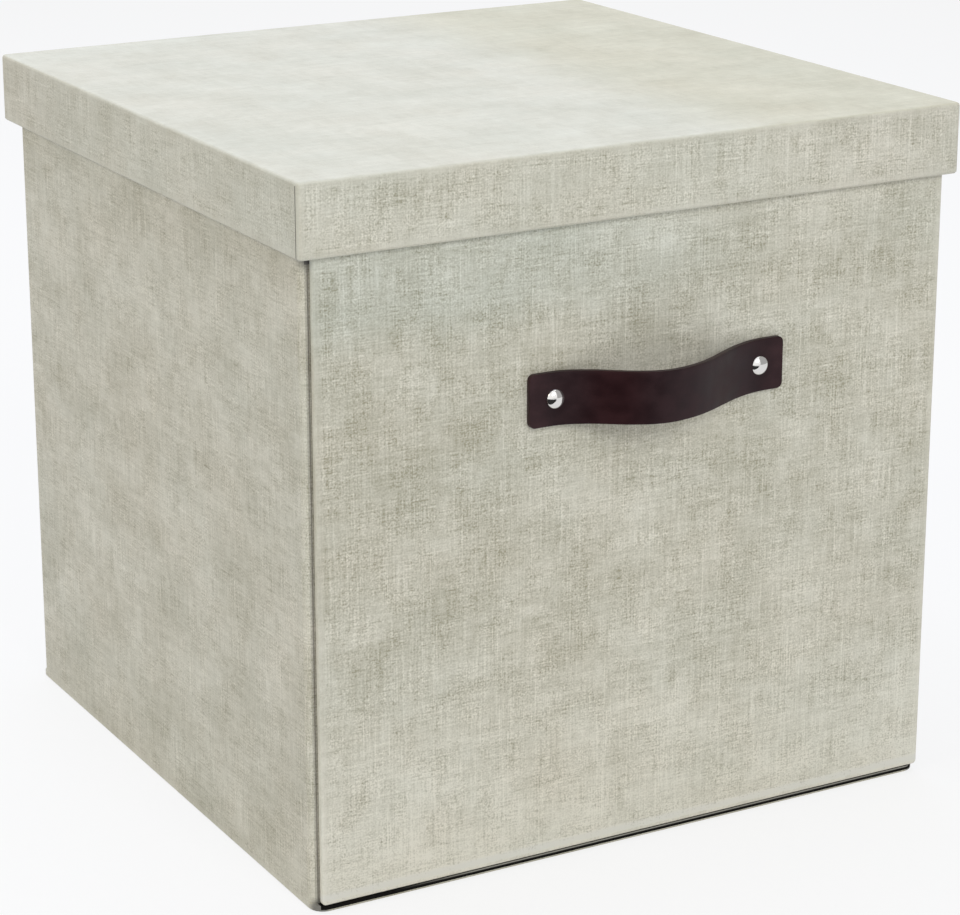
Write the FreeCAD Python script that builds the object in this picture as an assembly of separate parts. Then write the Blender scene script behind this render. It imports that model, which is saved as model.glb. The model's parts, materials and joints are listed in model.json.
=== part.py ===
import FreeCAD
import Part
import math
import os

# Knock-down storage box with a lift-off lid, in millimetres.
# Greyboard panels are wrapped in linen-look paper and lined with charcoal paper.
# The base and the two side walls share one wrap; the side walls turn round the
# corners into flaps, and press studs hold the front and back panels on the flaps.
# The origin is the centre of the base's underside.
# X points right as seen from the front, Y points to the back, Z points up.

V = FreeCAD.Vector

# Overall box
BODY_WIDTH = 307.0          # over the two side walls
BODY_DEPTH = 307.0          # over the front and back panels
TOTAL_HEIGHT = 310.0        # floor to the top of the closed lid

# Sheet materials
BOARD = 2.2                 # greyboard of walls, flaps, panels and lid rim
BASE_BOARD = 1.9            # greyboard of the base
LID_BOARD = 2.5             # greyboard of the lid's top
INSERT_BOARD = 2.0          # greyboard of the loose floor board
PAPER = 0.4                 # covering and lining paper, and hinge cloth

# Side walls and their corner flaps
BEND_RADIUS = 4.0           # outside of the wrap where it turns the corner
FLAP_WIDTH = 45.0           # from the side wall's outside to the flap's free edge
WALL_EDGE_BEVEL = 0.8       # bevel of the wrapped upper and free edges
BOARD_BEVEL = 0.6           # worn corner of a board inside its wrap
TOP_TURN_IN = 12.0          # wrap folded over the top edge, above the lining
FLAP_TURN_IN = 8.0          # wrap folded round the flap's free edge
BASE_TURN_IN = 6.5          # side wrap showing under the base, outside the underside paper
BASE_CAP = 3.0              # side wrap folded round each corner of the base

# Base
BASE_EDGE_RADIUS = 0.8      # lower edge of the base
BASE_CORNER_RADIUS = 7.0    # vertical corners of the base
BASE_LIP = 1.0              # height of the paper edge below the hinge cloth
HINGE_ON_BASE = 22.0        # hinge cloth glued along the base
HINGE_ON_PANEL = 17.0       # hinge cloth glued up the panel

# Front and back panels
PANEL_SIDE_INSET = 1.8      # panel edge behind the side wall's outside, were it centred
PANEL_SHIFT = 1.5           # panels sit this far to the right on their press studs
PANEL_CORNER_RADIUS = 2.0
PANEL_BOARD_CORNER = 1.0    # clipped corner of the board inside
PANEL_EDGE_RADIUS = 0.9     # rounding round the outer face
PANEL_FLOOR_GAP = 0.2       # panel's lower edge above the base
PANEL_TOP_DROP = 0.7        # panel's upper edge below the side walls
PANEL_TURN_IN = 12.0

# Press studs, one in each corner
STUD_FLANGE = 0.5           # thickness of the socket's and of the ball's flange
STUD_FLANGE_DIAMETER = 9.0
STUD_CAP_DIAMETER = 12.5
STUD_CAP_TOP_DIAMETER = 9.5
STUD_CAP_HEIGHT = 1.2
STUD_BALL_DIAMETER = 4.4
STUD_NECK_DIAMETER = 3.4
STUD_BALL_REACH = 2.5       # ball's tip beyond its flange
STUD_BARREL_DIAMETER = 6.4
STUD_BARREL_WALL = 0.7
STUD_POST_DIAMETER = 2.0
STUD_HEAD_DIAMETER = 8.0
STUD_HEAD = 0.5
STUD_HEIGHT = 228.0         # above the floor
STUD_PLAY = 0.1
STUD_SIDES = 12             # the studs' hidden pieces and holes are many-sided

# Lid
LID_PLAY = 1.5              # between the lid's rim and the walls
LID_RIM_HEIGHT = 31.0
LID_CORNER_RADIUS = 2.0
LID_TOP_RADIUS = 1.6
LID_TURN_IN = 12.0          # wrap folded on to the underside of the top
LID_SEAM_WIDTH = 0.4        # cut edge of the wrap, just round each front corner
LID_SEAM_DEPTH = 0.15
LID_SEAM_SETBACK = 2.2
STAY_LEG = 14.0             # gummed tape inside each corner of the rim
STAY_HEIGHT = 22.0
STAY_TAPE = 0.2

# Loose floor board
INSERT_PLAY = 1.5
INSERT_EDGE_BEVEL = 0.6
INSERT_CORNER_RADIUS = 1.5

# Leather pull on the front panel
STRAP_THICKNESS = 2.3
STRAP_WIDTH = 22.8
STRAP_OFFSET = 8.4          # pull's middle right of the box's middle
STRAP_HEIGHT = 206.5        # pull's centre line above the floor
STRAP_CORNER_RADIUS = 2.6
STRAP_END = 12.0            # rivet to the strap's end
RIVET_SPACING = 100.3
BOW_HEIGHT = 27.0           # where the two ramps would meet, above the panel
BOW_SHARE = 0.435           # that meeting point along the rivet spacing
BOW_RADIUS = 31.0           # crest of the bow
BOW_FOOT = 6.7              # rivet to the start of each ramp
BOW_FOOT_RADIUS = 6.0
RIVET_HEAD_DIAMETER = 8.6
RIVET_HEAD_HEIGHT = 2.2
RIVET_CROWN = 30.0          # degrees of the dome's arc that its flat crown takes up
RIVET_SHANK_DIAMETER = 3.0
RIVET_TAIL_DIAMETER = 5.2
RIVET_TAIL_TOP_DIAMETER = 4.2
RIVET_TAIL_HEIGHT = 1.0
WASHER_DIAMETER = 9.0
WASHER_THICKNESS = 0.5
RIVET_PLAY = 0.1

# Worked out from the sizes above
HALF_X = BODY_WIDTH / 2
HALF_Y = BODY_DEPTH / 2
WALL = BOARD + 2 * PAPER
BASE_TOP = BASE_BOARD + 2 * PAPER
LID_UNDER = TOTAL_HEIGHT - LID_BOARD - 2 * PAPER
WALL_TOP = LID_UNDER
FLAP_GAP = 2 * STUD_FLANGE
FLAP_FACE = HALF_Y - WALL - FLAP_GAP
BEND_X = HALF_X - BEND_RADIUS
BEND_Y = FLAP_FACE - BEND_RADIUS
FLAP_END = HALF_X - FLAP_WIDTH
STUD_X = (BEND_X + FLAP_END) / 2
LID_HALF_X = HALF_X + LID_PLAY + WALL
LID_HALF_Y = HALF_Y + LID_PLAY + WALL
LID_BOTTOM = TOTAL_HEIGHT - LID_RIM_HEIGHT
RIVET_X = (STRAP_OFFSET - RIVET_SPACING / 2, STRAP_OFFSET + RIVET_SPACING / 2)


def block(x0, x1, y0, y1, z0, z1):
    """A box between two corners."""
    return Part.makeBox(x1 - x0, y1 - y0, z1 - z0, V(x0, y0, z0))


def centred(half_x, half_y, z0, z1):
    """A box centred on the Z axis."""
    return block(-half_x, half_x, -half_y, half_y, z0, z1)


def fillet(shape, radius, wanted):
    """Round the edges for which wanted(edge) is true."""
    return shape.makeFillet(radius, [edge for edge in shape.Edges if wanted(edge)])


def bevel(shape, size, wanted):
    """Bevel the edges for which wanted(edge) is true."""
    return shape.makeChamfer(size, [edge for edge in shape.Edges if wanted(edge)])


def is_vertical(edge):
    box = edge.BoundBox
    return box.ZLength > 1 and box.XLength < 0.001 and box.YLength < 0.001


def at_height(z):
    """A test for edges that lie wholly at one height."""
    return lambda edge: abs(edge.BoundBox.ZMin - z) < 0.001 and abs(edge.BoundBox.ZMax - z) < 0.001


def mirror_x(shape):
    return shape.mirror(V(0, 0, 0), V(1, 0, 0))


def mirror_y(shape):
    return shape.mirror(V(0, 0, 0), V(0, 1, 0))


def turned(outline, x, z):
    """Revolve an outline of (radius, y) corners about a line along Y at x, z."""
    points = [V(x + radius, y, z) for radius, y in outline]
    face = Part.Face(Part.makePolygon(points + points[:1]))
    return face.revolve(V(x, 0, z), V(0, 1, 0), 360)


def ring(radius, x, y, z):
    """A many-sided ring about a line along Y, for the studs' hidden pieces and holes."""
    turn = 2 * math.pi / STUD_SIDES
    points = [V(x + radius * math.cos(turn * side), y, z + radius * math.sin(turn * side))
              for side in range(STUD_SIDES)]
    return Part.makePolygon(points + points[:1])


def stepped(outline, x, z):
    """A many-sided turned piece through (radius, y) steps along Y."""
    pieces = []
    for (radius0, y0), (radius1, y1) in zip(outline, outline[1:]):
        if y1 > y0:
            pieces.append(Part.makeLoft([ring(radius0, x, y0, z), ring(radius1, x, y1, z)], True, True))
    return pieces[0].multiFuse(pieces[1:]) if len(pieces) > 1 else pieces[0]


def hole(diameter, x, z, y0, y1):
    return stepped([(diameter / 2, y0), (diameter / 2, y1)], x, z)


def save(name, *shapes):
    """Write one node, as one solid or as a group of separate solids."""
    solids = [solid for shape in shapes for solid in shape.Solids]
    whole = solids[0] if len(solids) == 1 else Part.makeCompound(solids)
    whole.exportStep("parts/" + name + ".step")
    print(name, len(solids), "solid(s)", round(whole.Volume), "mm3")


# Side walls: the wall, the bends and the two flaps follow one C-shaped plan line


def wall_line(depth, end_x):
    """The left wall's plan line at a depth below its outside, front flap to back flap."""
    radius = BEND_RADIUS - depth
    wall_x = -HALF_X + depth
    flap_y = FLAP_FACE - depth
    middle = radius * math.sqrt(0.5)
    corners = []
    for side in (-1, 1):
        flap = V(-end_x, side * flap_y, 0)
        start = V(-BEND_X, side * flap_y, 0)
        inner = V(-BEND_X - middle, side * (BEND_Y + middle), 0)
        stop = V(wall_x, side * BEND_Y, 0)
        corners.append((flap, start, inner, stop))
    front, back = corners
    return [
        Part.LineSegment(front[0], front[1]).toShape(),
        Part.Arc(front[1], front[2], front[3]).toShape(),
        Part.LineSegment(front[3], back[3]).toShape(),
        Part.Arc(back[3], back[2], back[1]).toShape(),
        Part.LineSegment(back[1], back[0]).toShape(),
    ]


def wall_shell(outer_depth, inner_depth, end_x, z0, z1):
    """The C-shaped solid between two depths, from z0 to z1."""
    outer = wall_line(outer_depth, end_x)
    inner = wall_line(inner_depth, end_x)
    ends = []
    for index, end in ((0, 0), (-1, -1)):
        ends.append(Part.LineSegment(outer[index].Vertexes[end].Point,
                                     inner[index].Vertexes[end].Point).toShape())
    wire = Part.Wire(Part.__sortEdges__(outer + inner + ends))
    solid = Part.Face(wire).extrude(V(0, 0, z1 - z0))
    solid.translate(V(0, 0, z0))
    return solid


def bevelled_wall(depth, size):
    """The wrapped wall, or at a depth the boards inside it, with bevelled top and ends."""
    end_x = FLAP_END + depth
    top = WALL_TOP - depth
    solid = wall_shell(depth, WALL - depth, end_x, BASE_TOP, top)
    top_edge = at_height(top)

    def flap_end(edge):
        return is_vertical(edge) and abs(edge.BoundBox.XMax + end_x) < 0.001

    return bevel(solid, size, lambda edge: top_edge(edge) or flap_end(edge))


def wall_core():
    """The space that the wall's boards and the hollow bends take up inside the wrap."""
    core = bevelled_wall(PAPER, BOARD_BEVEL)
    for side in (-1, 1):
        near, far = sorted((side * BEND_Y, side * HALF_Y))
        core = core.cut(block(-BEND_X, 0, near, far, BASE_TOP, BASE_TOP + PAPER))
    return core


def flap_holes():
    """A stud's hole through each flap of the left wall."""
    diameter = STUD_BARREL_DIAMETER + 2 * STUD_PLAY
    front = hole(diameter, -STUD_X, STUD_HEIGHT, -HALF_Y, -BEND_Y + BEND_RADIUS)
    return [front, mirror_y(front)]


def side_wall():
    """The left wall's pieces by name; the right wall is their mirror image."""
    holes = flap_holes()
    core = wall_core()
    lining = wall_shell(WALL - PAPER, WALL, FLAP_END + FLAP_TURN_IN, BASE_TOP, WALL_TOP - TOP_TURN_IN)
    wrap = bevelled_wall(0, WALL_EDGE_BEVEL).cut([core, lining])
    wrap = wrap.fuse(base_side_wrap()).removeSplitter()
    wall_zone = block(-HALF_X, -BEND_X, -BEND_Y, BEND_Y, 0, TOTAL_HEIGHT)
    front_zone = block(-BEND_X, 0, -HALF_Y, -BEND_Y, 0, TOTAL_HEIGHT)
    return {
        "wall_board": core.common(wall_zone),
        "front_flap_board": core.common(front_zone).cut(holes),
        "back_flap_board": core.common(mirror_y(front_zone)).cut(holes),
        "wall_cover": wrap.cut(holes),
        "wall_lining": lining.cut(holes),
    }


# Base: one board whose skin is shared out between four papers and two hinge cloths


def base_slab(inset):
    """The base's block, or at an inset that of the board inside its skin."""
    slab = centred(HALF_X - inset, HALF_Y - inset, inset, BASE_TOP - inset)
    return fillet(slab, BASE_CORNER_RADIUS - inset, is_vertical)


def base_skin():
    """The closed skin of paper and cloth round the base board."""
    slab = fillet(base_slab(0), BASE_EDGE_RADIUS, at_height(0))
    return slab.cut(base_slab(PAPER))


def base_side_zone():
    """Where the left wall's wrap covers the base: its side, its foot and two corners."""
    foot = block(-HALF_X, -HALF_X + BASE_TURN_IN, -HALF_Y, HALF_Y, 0, BASE_LIP)
    side = block(-HALF_X, -HALF_X + PAPER, -HALF_Y, HALF_Y, 0, BASE_TOP)
    cap = block(-HALF_X, -HALF_X + BASE_CAP, -HALF_Y, -BEND_Y, 0, BASE_TOP)
    return [foot, side, cap, mirror_y(cap)]


def base_side_wrap():
    zone = base_side_zone()
    return base_skin().common(zone[0].multiFuse(zone[1:])).removeSplitter()


def base_cover():
    """Underside paper, turned up into a low lip at the front and back."""
    half = HALF_X - BASE_TURN_IN
    return base_skin().common(centred(half, HALF_Y, 0, BASE_LIP))


def base_lining():
    """Charcoal paper on top of the base board, between the hinge cloths."""
    half_y = HALF_Y - HINGE_ON_BASE
    return base_skin().common(centred(HALF_X - PAPER, half_y, PAPER + BASE_BOARD, BASE_TOP))


def front_hinge_cloth():
    """Black cloth round the base's front edge, along its top and up the panel's back."""
    zone = block(-HALF_X + PAPER, HALF_X - PAPER, -HALF_Y, -HALF_Y + HINGE_ON_BASE, BASE_LIP, BASE_TOP)
    strip = base_skin().common(zone)
    corner = base_side_zone()[2]
    strip = strip.cut([corner, mirror_x(corner)])
    panel_back = -HALF_Y + WALL
    riser = block(-BEND_X, BEND_X, panel_back, panel_back + PAPER, BASE_TOP, BASE_TOP + HINGE_ON_PANEL)
    return strip.fuse(riser).removeSplitter()


# Front and back panels


def panel_slab(inset):
    """The front panel's block, or at an inset that of the board inside its wrap."""
    half_x = HALF_X - PANEL_SIDE_INSET - inset
    z0 = BASE_TOP + PANEL_FLOOR_GAP + inset
    z1 = WALL_TOP - PANEL_TOP_DROP - inset
    x0 = PANEL_SHIFT - half_x
    x1 = PANEL_SHIFT + half_x
    return block(x0, x1, -HALF_Y + inset, -HALF_Y + WALL - inset, z0, z1)


def is_crosswise(edge):
    """True for the edges that run along Y."""
    return edge.BoundBox.YLength > 1


def at_depth(y):
    """A test for edges that lie wholly at one depth."""
    return lambda edge: abs(edge.BoundBox.YMin - y) < 0.001 and abs(edge.BoundBox.YMax - y) < 0.001


def panel_board():
    front = at_depth(-HALF_Y + PAPER)
    back = at_depth(-HALF_Y + WALL - PAPER)
    slab = bevel(panel_slab(PAPER), PANEL_BOARD_CORNER, is_crosswise)
    return bevel(slab, BOARD_BEVEL, lambda edge: front(edge) or back(edge))


def panel_wrapped():
    """The wrapped panel: rounded round its outer face and bevelled round its inner one."""
    slab = fillet(panel_slab(0), PANEL_CORNER_RADIUS, is_crosswise)
    slab = fillet(slab, PANEL_EDGE_RADIUS, at_depth(-HALF_Y))
    return bevel(slab, WALL_EDGE_BEVEL, at_depth(-HALF_Y + WALL))


def panel_lining():
    half_x = HALF_X - PANEL_SIDE_INSET - PANEL_TURN_IN
    z0 = BASE_TOP + PANEL_FLOOR_GAP + PANEL_TURN_IN
    z1 = WALL_TOP - PANEL_TOP_DROP - PANEL_TURN_IN
    inside = -HALF_Y + WALL
    return block(PANEL_SHIFT - half_x, PANEL_SHIFT + half_x, inside - PAPER, inside, z0, z1)


def panel():
    """The front panel's pieces without the pull; the back panel mirrors them."""
    board = panel_board()
    lining = panel_lining()
    wrap = panel_wrapped().cut([board, lining])
    face = -HALF_Y + PAPER
    posts = []
    heads = []
    for x in (-STUD_X, STUD_X):
        posts.append(hole(STUD_POST_DIAMETER + 2 * STUD_PLAY, x, STUD_HEIGHT, face, -HALF_Y + WALL))
        heads.append(hole(STUD_HEAD_DIAMETER + 2 * STUD_PLAY, x, STUD_HEIGHT, face, face + STUD_HEAD))
    return {
        "board": board.cut(posts + heads),
        "cover": wrap.cut(posts),
        "lining": lining.cut(posts),
    }


# Press studs


def stud_parts(x):
    """One stud at the front: cap, socket, ball and post, from the inside outwards."""
    panel_back = -HALF_Y + WALL
    meet = panel_back + STUD_FLANGE
    flap_outside = -FLAP_FACE
    flap_inside = flap_outside + WALL
    cap = turned([(0, flap_inside), (STUD_CAP_DIAMETER / 2, flap_inside),
                  (STUD_CAP_TOP_DIAMETER / 2, flap_inside + STUD_CAP_HEIGHT),
                  (0, flap_inside + STUD_CAP_HEIGHT)], x, STUD_HEIGHT)

    flange = STUD_FLANGE_DIAMETER / 2
    barrel = STUD_BARREL_DIAMETER / 2
    bore = STUD_BARREL_DIAMETER - 2 * STUD_BARREL_WALL
    socket = stepped([(flange, meet), (flange, flap_outside), (barrel, flap_outside),
                      (barrel, flap_inside)], x, STUD_HEIGHT)
    socket = socket.cut(hole(bore, x, STUD_HEIGHT, meet, flap_inside))

    tip = meet + STUD_BALL_REACH
    widest = (tip + flap_outside) / 2
    ball = stepped([(flange, panel_back), (flange, meet), (STUD_NECK_DIAMETER / 2, meet),
                    (STUD_NECK_DIAMETER / 2, flap_outside), (STUD_BALL_DIAMETER / 2, widest),
                    (STUD_NECK_DIAMETER / 2, tip)], x, STUD_HEIGHT)

    face = -HALF_Y + PAPER
    shank = STUD_POST_DIAMETER / 2
    post = stepped([(STUD_HEAD_DIAMETER / 2, face), (STUD_HEAD_DIAMETER / 2, face + STUD_HEAD),
                    (shank, face + STUD_HEAD), (shank, panel_back)], x, STUD_HEIGHT)
    return {"stud_caps": cap, "stud_sockets": socket, "stud_balls": ball, "stud_posts": post}


def all_studs():
    """Four studs, one in each corner, the back ones mirrored from the front."""
    groups = {}
    for x in (-STUD_X, STUD_X):
        for name, shape in stud_parts(x).items():
            groups.setdefault(name, []).extend([shape, mirror_y(shape)])
    return groups


# Leather pull


def rounded_path(corners, radii):
    """Straight runs through the corners, joined by tangent arcs at the inner ones."""
    edges = []
    start = corners[0]
    for before, corner, after, radius in zip(corners, corners[1:], corners[2:], radii):
        back = (before - corner).normalize()
        ahead = (after - corner).normalize()
        half_angle = back.getAngle(ahead) / 2
        run = radius / math.tan(half_angle)
        enter = corner + back * run
        leave = corner + ahead * run
        bisector = (back + ahead).normalize()
        middle = corner + bisector * (radius / math.sin(half_angle) - radius)
        edges.append(Part.LineSegment(start, enter).toShape())
        edges.append(Part.Arc(enter, middle, leave).toShape())
        start = leave
    edges.append(Part.LineSegment(start, corners[-1]).toShape())
    return Part.Wire(edges)


def strap():
    """The bowed strap: its edge-on outline, cut to a strip with rounded corners."""
    face = -HALF_Y
    left, right = RIVET_X
    crest_x = left + RIVET_SPACING * BOW_SHARE
    corners = [V(left - STRAP_END, face, 0), V(left + BOW_FOOT, face, 0),
               V(crest_x, face - BOW_HEIGHT, 0),
               V(right - BOW_FOOT, face, 0), V(right + STRAP_END, face, 0)]
    inner_radii = (BOW_FOOT_RADIUS + STRAP_THICKNESS, BOW_RADIUS, BOW_FOOT_RADIUS + STRAP_THICKNESS)
    inner = rounded_path(corners, inner_radii)
    band = inner.makeOffset2D(-STRAP_THICKNESS, 2, True, True)
    if band.BoundBox.YMax > face + 0.001:
        band = inner.makeOffset2D(STRAP_THICKNESS, 2, True, True)
    solid = band.extrude(V(0, 0, STRAP_WIDTH))
    z0 = STRAP_HEIGHT - STRAP_WIDTH / 2
    solid.translate(V(0, 0, z0))
    reach = BOW_HEIGHT + STRAP_THICKNESS
    outline = block(left - STRAP_END, right + STRAP_END, face - reach, face, z0, z0 + STRAP_WIDTH)
    outline = fillet(outline, STRAP_CORNER_RADIUS, is_crosswise)
    solid = solid.common(outline)
    return solid.cut(rivet_holes(face - reach, face))


def rivet(x):
    """Domed head, shank through strap and panel, and a set tail inside."""
    seat = -HALF_Y - STRAP_THICKNESS
    inside = -HALF_Y + WALL + WASHER_THICKNESS
    shank = RIVET_SHANK_DIAMETER / 2
    outline = [(0, seat - RIVET_HEAD_HEIGHT)]
    for degrees in (RIVET_CROWN, (RIVET_CROWN + 90) / 2, 90):
        angle = math.radians(degrees)
        rise = RIVET_HEAD_HEIGHT * math.cos(angle) / math.cos(math.radians(RIVET_CROWN))
        outline.append((RIVET_HEAD_DIAMETER / 2 * math.sin(angle), seat - rise))
    outline += [(shank, seat), (shank, inside), (RIVET_TAIL_DIAMETER / 2, inside),
                (RIVET_TAIL_TOP_DIAMETER / 2, inside + RIVET_TAIL_HEIGHT),
                (0, inside + RIVET_TAIL_HEIGHT)]
    return turned(outline, x, STRAP_HEIGHT)


def rivet_holes(y0, y1):
    return [hole(RIVET_SHANK_DIAMETER + 2 * RIVET_PLAY, x, STRAP_HEIGHT, y0, y1) for x in RIVET_X]


def washers():
    y0 = -HALF_Y + WALL
    y1 = y0 + WASHER_THICKNESS
    return [hole(WASHER_DIAMETER, x, STRAP_HEIGHT, y0, y1).cut(rivet_holes(y0, y1)) for x in RIVET_X]


# Lid


def lid_block(inset):
    """The lid's outside, or at an inset that of the boards inside the wrap."""
    solid = centred(LID_HALF_X - inset, LID_HALF_Y - inset, LID_BOTTOM + inset, TOTAL_HEIGHT - inset)
    return fillet(solid, LID_CORNER_RADIUS - inset, is_vertical)


def lid_hollow(inset):
    return centred(LID_HALF_X - WALL + inset, LID_HALF_Y - WALL + inset, LID_BOTTOM, LID_UNDER + inset)


def lid_core():
    """All the lid's boards as one."""
    outside = bevel(lid_block(PAPER), BOARD_BEVEL, at_height(TOTAL_HEIGHT - PAPER))
    return bevel(outside.cut(lid_hollow(PAPER)), BOARD_BEVEL, at_height(LID_BOTTOM + PAPER))


def lid_wrapped():
    """The wrapped lid, with soft upper edges and bevelled lower ones."""
    outside = fillet(lid_block(0), LID_TOP_RADIUS, at_height(TOTAL_HEIGHT))
    return bevel(outside.cut(lid_hollow(0)), WALL_EDGE_BEVEL, at_height(LID_BOTTOM))


def lid_boards():
    """Top board and the four rim boards under it, by node name."""
    core = lid_core()
    under = LID_UNDER + PAPER
    inner_x = LID_HALF_X - WALL + PAPER
    inner_y = LID_HALF_Y - WALL + PAPER
    front = block(-LID_HALF_X, LID_HALF_X, -LID_HALF_Y, -inner_y, LID_BOTTOM, under)
    left = block(-LID_HALF_X, -inner_x, -inner_y, inner_y, LID_BOTTOM, under)
    return {
        "lid_top_board": core.common(centred(LID_HALF_X, LID_HALF_Y, under, TOTAL_HEIGHT)),
        "lid_front_rim_board": core.common(front),
        "lid_back_rim_board": core.common(mirror_y(front)),
        "lid_left_rim_board": core.common(left),
        "lid_right_rim_board": core.common(mirror_x(left)),
    }


def corner_stays():
    """Gummed tape that holds each inner corner of the rim, under the turned-in wrap."""
    x = LID_HALF_X - WALL + PAPER
    y = LID_HALF_Y - WALL + PAPER
    z1 = LID_UNDER
    z0 = z1 - STAY_HEIGHT
    stay = block(-x, -x + STAY_LEG, -y, -y + STAY_LEG, z0, z1)
    stay = stay.cut(block(-x + STAY_TAPE, 0, -y + STAY_TAPE, 0, z0, z1))
    return [stay, mirror_x(stay), mirror_y(stay), mirror_x(mirror_y(stay))]


def lid_lining():
    half_x = LID_HALF_X - WALL - LID_TURN_IN
    half_y = LID_HALF_Y - WALL - LID_TURN_IN
    return centred(half_x, half_y, LID_UNDER, LID_UNDER + PAPER)


def lid_cover(boards, stays, lining):
    """The wrap: all round the boards, with the cut edge of its side aprons as a fine step."""
    wrap = lid_wrapped()
    y = -LID_HALF_Y + LID_SEAM_SETBACK
    z1 = TOTAL_HEIGHT - LID_TOP_RADIUS
    seam = block(-LID_HALF_X, -LID_HALF_X + LID_SEAM_DEPTH, y, y + LID_SEAM_WIDTH, LID_BOTTOM, z1)
    return wrap.cut(boards + stays + [lining, seam, mirror_x(seam)])


# Loose floor board


def insert_slab(inset):
    """The loose floor board, or at an inset the board inside its wrap."""
    half_x = HALF_X - WALL - INSERT_PLAY - inset
    half_y = FLAP_FACE - WALL - STUD_CAP_HEIGHT - INSERT_PLAY - inset
    z0 = BASE_TOP + inset
    z1 = BASE_TOP + INSERT_BOARD + 2 * PAPER - inset
    return fillet(centred(half_x, half_y, z0, z1), INSERT_CORNER_RADIUS - inset, is_vertical)


def insert_wrapped():
    slab = insert_slab(0)
    bottom = at_height(slab.BoundBox.ZMin)
    top = at_height(slab.BoundBox.ZMax)
    return bevel(slab, INSERT_EDGE_BEVEL, lambda edge: bottom(edge) or top(edge))


def build():
    os.makedirs("parts", exist_ok=True)

    save("base_board", base_slab(PAPER))
    save("base_cover", base_cover())
    save("base_lining", base_lining())
    hinge = front_hinge_cloth()
    save("front_hinge_cloth", hinge)
    save("back_hinge_cloth", mirror_y(hinge))

    for name, shape in side_wall().items():
        save("left_" + name, shape)
        save("right_" + name, mirror_x(shape))

    for name, shape in panel().items():
        save("front_" + name, shape.cut(rivet_holes(-HALF_Y, -HALF_Y + WALL)))
        save("back_" + name, mirror_y(shape))

    for name, shapes in all_studs().items():
        save(name, *shapes)

    save("handle_strap", strap())
    save("handle_rivets", *[rivet(x) for x in RIVET_X])
    save("handle_washers", *washers())

    insert = insert_slab(PAPER)
    save("insert_board", insert)
    save("insert_cover", insert_wrapped().cut(insert))

    boards = lid_boards()
    for name, shape in boards.items():
        save(name, shape)
    stays = corner_stays()
    save("lid_corner_stays", *stays)
    lining = lid_lining()
    save("lid_lining", lining)
    save("lid_cover", lid_cover(list(boards.values()), stays, lining))


build()
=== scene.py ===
# %% [markdown]
# # A linen-look storage box with a leather pull
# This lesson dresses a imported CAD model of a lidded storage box. The CAD parts stay where
# they are: they get materials here, and the pieces that need finer forms are built anew.
# Everything is in metres, in the CAD's own frame: the box stands on Z = 0, its front faces -Y.
# Patterns and profiles are worked in millimetres, as a box maker would.

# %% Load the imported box
import bpy
import bmesh
import json
import math
from mathutils import Matrix, Vector


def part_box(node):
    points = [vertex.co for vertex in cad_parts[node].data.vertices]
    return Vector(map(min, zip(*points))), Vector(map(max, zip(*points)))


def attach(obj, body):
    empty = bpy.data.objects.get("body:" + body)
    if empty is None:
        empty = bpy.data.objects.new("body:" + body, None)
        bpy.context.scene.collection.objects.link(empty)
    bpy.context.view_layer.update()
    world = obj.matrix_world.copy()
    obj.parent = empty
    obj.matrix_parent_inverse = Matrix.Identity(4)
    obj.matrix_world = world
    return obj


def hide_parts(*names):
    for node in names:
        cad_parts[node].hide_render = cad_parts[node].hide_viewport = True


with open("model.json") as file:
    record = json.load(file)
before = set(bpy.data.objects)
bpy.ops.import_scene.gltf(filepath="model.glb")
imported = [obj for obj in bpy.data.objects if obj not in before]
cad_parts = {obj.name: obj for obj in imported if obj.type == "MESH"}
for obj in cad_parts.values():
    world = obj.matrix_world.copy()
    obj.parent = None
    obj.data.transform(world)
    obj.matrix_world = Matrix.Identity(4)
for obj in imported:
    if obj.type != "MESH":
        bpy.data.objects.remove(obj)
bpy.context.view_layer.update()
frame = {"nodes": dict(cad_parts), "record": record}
MM = 0.001
PER_METRE = 1000.0

# %% [markdown]
# ## The camera
# The photograph looks at the front from its left and a little from above. A camera can be
# placed by eye, but the box's own edges, whose lengths are known, give its place, its turn and
# its long lens, and then the two pictures lie over each other. The photograph was cropped off
# centre, so the lens is shifted by a few hundredths of the picture's width.

# %% Camera at the photograph's angle
CAMERA_PLACE = Vector((-0.6505, -1.1763, 0.5644))
CAMERA_AZIMUTH = math.radians(28.19)
CAMERA_ELEVATION = math.radians(17.07)
CAMERA_ROLL = math.radians(-0.35)
CAMERA_LENS = 113.8
CAMERA_SHIFT = (0.0603, -0.0442)


def camera_turn(azimuth, elevation, roll):
    """Rotation whose columns are the camera's right, up and backward directions."""
    forward = Vector((math.sin(azimuth) * math.cos(elevation),
                      math.cos(azimuth) * math.cos(elevation), -math.sin(elevation)))
    level_right = forward.cross(Vector((0, 0, 1))).normalized()
    level_up = level_right.cross(forward)
    right = math.cos(roll) * level_right + math.sin(roll) * level_up
    up = math.cos(roll) * level_up - math.sin(roll) * level_right
    return Matrix((right, up, -forward)).transposed()


lens = bpy.data.cameras.new("camera")
lens.lens = CAMERA_LENS
lens.shift_x, lens.shift_y = CAMERA_SHIFT
camera = bpy.data.objects.new("camera", lens)
turn = camera_turn(CAMERA_AZIMUTH, CAMERA_ELEVATION, CAMERA_ROLL)
camera.matrix_world = Matrix.Translation(CAMERA_PLACE) @ turn.to_4x4()
bpy.context.scene.collection.objects.link(camera)
bpy.context.scene.camera = camera
print("camera", tuple(round(c, 3) for c in camera.location))

# %% [markdown]
# ## Small helpers for node trees
# Node trees can be drawn by hand in the editor. Built in code, they can be read, repeated and
# corrected. One helper adds a node, sets its options and fills its inputs, with numbers or with
# the outputs of other nodes. The rest are short names for nodes that are used often.


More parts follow.
